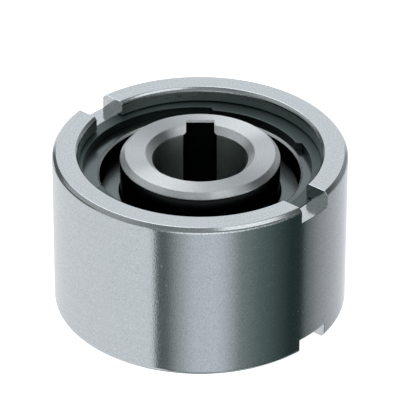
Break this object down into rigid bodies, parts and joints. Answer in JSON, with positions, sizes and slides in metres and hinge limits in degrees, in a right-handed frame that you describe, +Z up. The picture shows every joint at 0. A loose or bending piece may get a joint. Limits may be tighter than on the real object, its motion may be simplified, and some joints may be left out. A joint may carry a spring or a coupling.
{
  "type": "freewheel backstop clutch",
  "caption": "Roller freewheel backstop: a keyed inner ring turns freely one way in a slotted outer ring and locks the other way on spring-loaded rollers.",
  "frame": {"origin": "on the axis, in the plane of the lower end face of the outer ring", "axes": "+Z up along the bore axis, +X along the drive slots of the outer ring"},
  "size_m": [0.062, 0.062, 0.036],
  "materials": {
    "ground_steel": "ground steel, lightly oiled",
    "turned_steel": "fine turned steel",
    "cover_steel": "turned steel, satin",
    "bush_metal": "sintered bearing metal, dull and oiled",
    "spring_steel": "stamped spring steel, phosphated grey",
    "roller_steel": "hardened and ground, polished",
    "pin_steel": "ground steel",
    "spring_wire": "drawn spring wire"
  },
  "bodies": {
    "outer": {"outer_ring": "ground_steel", "upper_cover_ring": "cover_steel", "lower_cover_ring": "cover_steel", "upper_bush": "bush_metal", "lower_bush": "bush_metal", "upper_circlip": "spring_steel", "lower_circlip": "spring_steel"},
    "inner": {"inner_ring": "turned_steel", "spring_1": "spring_wire", "spring_2": "spring_wire", "spring_3": "spring_wire", "spring_4": "spring_wire", "spring_5": "spring_wire", "spring_6": "spring_wire"},
    "plunger_1": {"plunger_1": "pin_steel"},
    "roller_1": {"roller_1": "roller_steel"},
    "plunger_2": {"plunger_2": "pin_steel"},
    "roller_2": {"roller_2": "roller_steel"},
    "plunger_3": {"plunger_3": "pin_steel"},
    "roller_3": {"roller_3": "roller_steel"},
    "plunger_4": {"plunger_4": "pin_steel"},
    "roller_4": {"roller_4": "roller_steel"},
    "plunger_5": {"plunger_5": "pin_steel"},
    "roller_5": {"roller_5": "roller_steel"},
    "plunger_6": {"plunger_6": "pin_steel"},
    "roller_6": {"roller_6": "roller_steel"}
  },
  "joints": [
    {"name": "overrun", "type": "hinge", "parent": "outer", "child": "inner", "pos_m": [0, 0, 0.018], "axis": [0, 0, 1], "range_deg": [0, 3690]},
    {"name": "plunger_1_slide", "type": "slide", "parent": "inner", "child": "plunger_1", "axis": [0.342, 0.9397, 0], "range_m": [0, 0.0008], "stiffness_N_per_m": 400, "springref_m": -0.002, "deforming": ["spring_1"]},
    {"name": "roller_1_spin", "type": "hinge", "parent": "plunger_1", "child": "roller_1", "pos_m": [-0.02025, 0.00467, 0.018], "axis": [0, 0, 1], "range_deg": [-25619.14, 0]},
    {"name": "plunger_2_slide", "type": "slide", "parent": "inner", "child": "plunger_2", "axis": [-0.6428, 0.766, 0], "range_m": [0, 0.0008], "stiffness_N_per_m": 400, "springref_m": -0.002, "deforming": ["spring_2"]},
    {"name": "roller_2_spin", "type": "hinge", "parent": "plunger_2", "child": "roller_2", "pos_m": [-0.01417, -0.0152, 0.018], "axis": [0, 0, 1], "range_deg": [-25619.14, 0]},
    {"name": "plunger_3_slide", "type": "slide", "parent": "inner", "child": "plunger_3", "axis": [-0.9848, -0.1736, 0], "range_m": [0, 0.0008], "stiffness_N_per_m": 400, "springref_m": -0.002, "deforming": ["spring_3"]},
    {"name": "roller_3_spin", "type": "hinge", "parent": "plunger_3", "child": "roller_3", "pos_m": [0.00608, -0.01987, 0.018], "axis": [0, 0, 1], "range_deg": [-25619.14, 0]},
    {"name": "plunger_4_slide", "type": "slide", "parent": "inner", "child": "plunger_4", "axis": [-0.342, -0.9397, 0], "range_m": [0, 0.0008], "stiffness_N_per_m": 400, "springref_m": -0.002, "deforming": ["spring_4"]},
    {"name": "roller_4_spin", "type": "hinge", "parent": "plunger_4", "child": "roller_4", "pos_m": [0.02025, -0.00467, 0.018], "axis": [0, 0, 1], "range_deg": [-25619.14, 0]},
    {"name": "plunger_5_slide", "type": "slide", "parent": "inner", "child": "plunger_5", "axis": [0.6428, -0.766, 0], "range_m": [0, 0.0008], "stiffness_N_per_m": 400, "springref_m": -0.002, "deforming": ["spring_5"]},
    {"name": "roller_5_spin", "type": "hinge", "parent": "plunger_5", "child": "roller_5", "pos_m": [0.01417, 0.0152, 0.018], "axis": [0, 0, 1], "range_deg": [-25619.14, 0]},
    {"name": "plunger_6_slide", "type": "slide", "parent": "inner", "child": "plunger_6", "axis": [0.9848, 0.1736, 0], "range_m": [0, 0.0008], "stiffness_N_per_m": 400, "springref_m": -0.002, "deforming": ["spring_6"]},
    {"name": "roller_6_spin", "type": "hinge", "parent": "plunger_6", "child": "roller_6", "pos_m": [-0.00608, 0.01987, 0.018], "axis": [0, 0, 1], "range_deg": [-25619.14, 0]}
  ],
  "couplings": [
    {"joint": "roller_1_spin", "follows": "overrun", "ratio": -6.9429},
    {"joint": "roller_2_spin", "follows": "overrun", "ratio": -6.9429},
    {"joint": "roller_3_spin", "follows": "overrun", "ratio": -6.9429},
    {"joint": "roller_4_spin", "follows": "overrun", "ratio": -6.9429},
    {"joint": "roller_5_spin", "follows": "overrun", "ratio": -6.9429},
    {"joint": "roller_6_spin", "follows": "overrun", "ratio": -6.9429}
  ]
}
